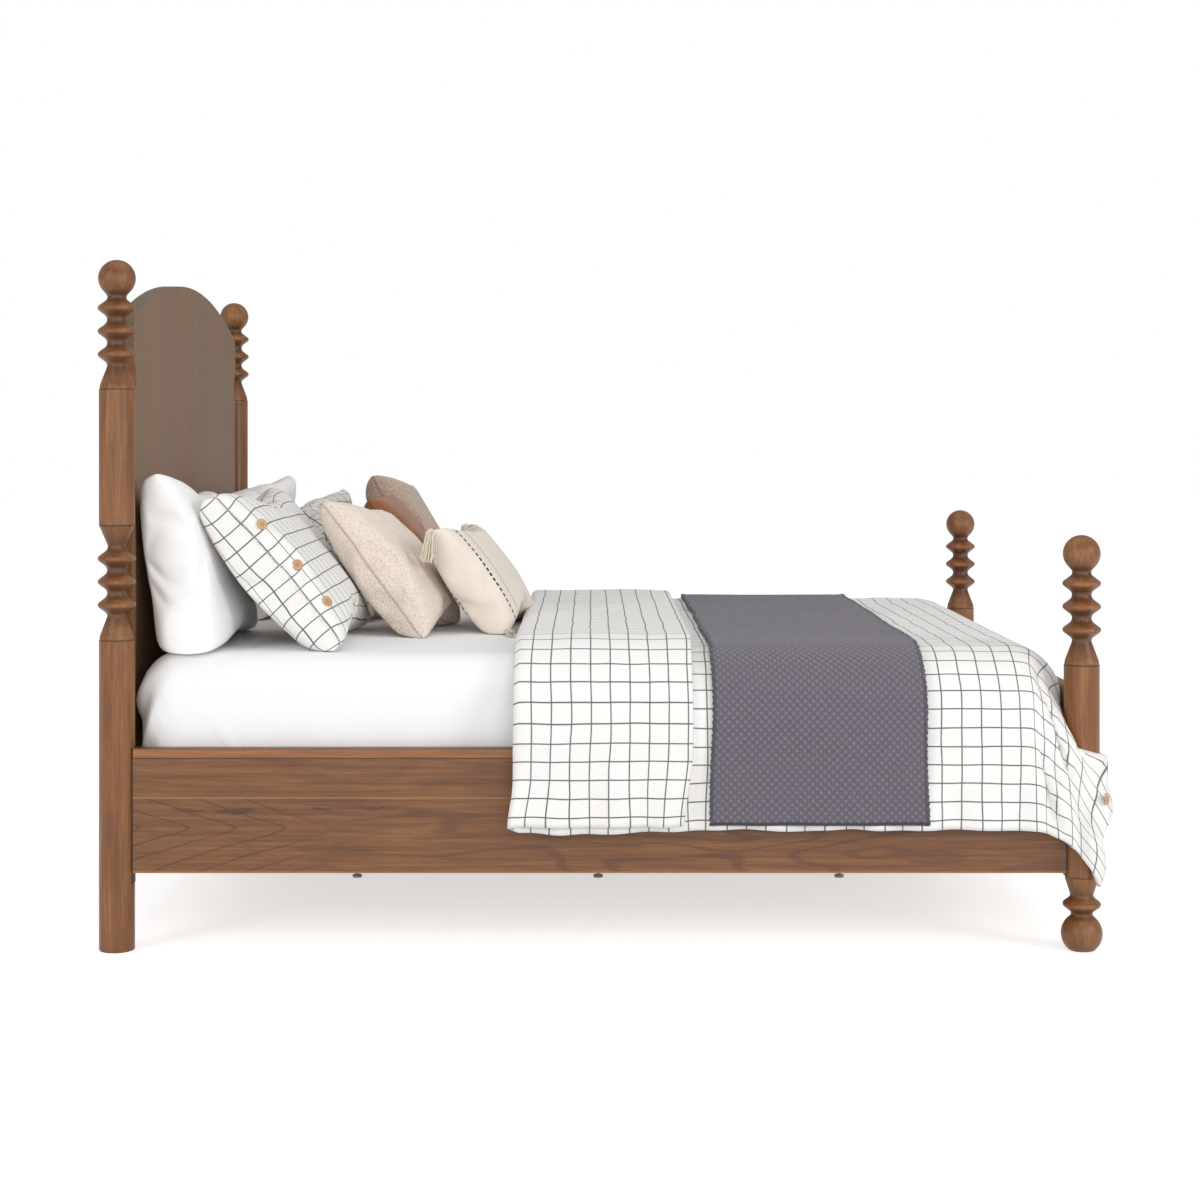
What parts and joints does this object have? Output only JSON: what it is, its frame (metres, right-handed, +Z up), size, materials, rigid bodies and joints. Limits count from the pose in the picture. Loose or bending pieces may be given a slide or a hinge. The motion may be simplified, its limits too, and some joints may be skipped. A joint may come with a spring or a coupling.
{
  "type": "panel bed",
  "caption": "Panel bed with turned posts and ball finials, arched headboard, low footboard and veneered side rails, with slats, mattress, duvet, throw, pillows and cushions.",
  "frame": {"origin": "on the floor, in the middle of the bed's outline seen from above", "axes": "+X from the headboard to the footboard, +Z up, +Y to the right-hand side of somebody who stands at the foot and faces the headboard"},
  "size_m": [2.2258, 1.7366, 1.5242],
  "materials": {
    "turned_wood": "satin lacquer over brown stain, darker in the turned grooves",
    "headboard_veneer": "matt greyish brown straight-grained veneer",
    "rail_veneer": "satin brown veneer in two leaves",
    "cap_wood": "satin lacquer, warmer than the rail",
    "plain_softwood": "planed and left plain",
    "zinc_steel": "zinc plated",
    "black_steel": "black powder coat",
    "glide_nylon": "moulded, pale",
    "mattress_ticking": "quilted ticking",
    "white_sheet": "plain white cotton",
    "checked_cotton": "white cotton with a thin dark blue-grey windowpane check",
    "throw_weave": "slate grey waffle weave",
    "white_pillowcase": "plain white cotton",
    "beige_boucle": "looped yarn",
    "taupe_boucle": "looped yarn",
    "rust_cloth": "plain weave",
    "cream_weave": "ribbed weave with black stitched lines",
    "tassel_cotton": "twisted cotton yarn",
    "button_wood": "waxed"
  },
  "bodies": {
    "root": {"barrel_nuts": "zinc_steel", "beam_brackets": "black_steel", "boucle_cushion_left": "beige_boucle", "boucle_cushion_right": "taupe_boucle", "bun_foot_left": "turned_wood", "bun_foot_right": "turned_wood", "centre_beam": "plain_softwood", "centre_legs": "plain_softwood", "checked_sham_left": "checked_cotton", "checked_sham_right": "checked_cotton", "corner_bolts": "zinc_steel", "duvet": "checked_cotton", "fitted_sheet": "white_sheet", "foot_finial_left": "turned_wood", "foot_finial_right": "turned_wood", "foot_post_left": "turned_wood", "foot_post_right": "turned_wood", "footboard_panel": "headboard_veneer", "head_finial_left": "turned_wood", "head_finial_right": "turned_wood", "head_leg_left": "turned_wood", "head_leg_right": "turned_wood", "head_post_left": "turned_wood", "head_post_right": "turned_wood", "head_spindle_left": "turned_wood", "head_spindle_right": "turned_wood", "headboard_panel": "headboard_veneer", "headboard_rail": "headboard_veneer", "headboard_stile_left": "headboard_veneer", "headboard_stile_right": "headboard_veneer", "levelling_glides": "glide_nylon", "lumbar_cushion": "cream_weave", "lumbar_tassels": "tassel_cotton", "mattress": "mattress_ticking", "pillow_left": "white_pillowcase", "pillow_right": "white_pillowcase", "post_rods": "zinc_steel", "rail_cap_left": "cap_wood", "rail_cap_right": "cap_wood", "rail_plates": "black_steel", "rust_cushion": "rust_cloth", "side_rail_left": "rail_veneer", "side_rail_right": "rail_veneer", "slat_01": "plain_softwood", "slat_02": "plain_softwood", "slat_03": "plain_softwood", "slat_04": "plain_softwood", "slat_05": "plain_softwood", "slat_06": "plain_softwood", "slat_07": "plain_softwood", "slat_08": "plain_softwood", "slat_09": "plain_softwood", "slat_10": "plain_softwood", "slat_11": "plain_softwood", "slat_12": "plain_softwood", "slat_ledger_left": "plain_softwood", "slat_ledger_right": "plain_softwood", "slat_screws": "zinc_steel", "throw_blanket": "throw_weave", "wooden_buttons": "button_wood"}
  },
  "joints": []
}
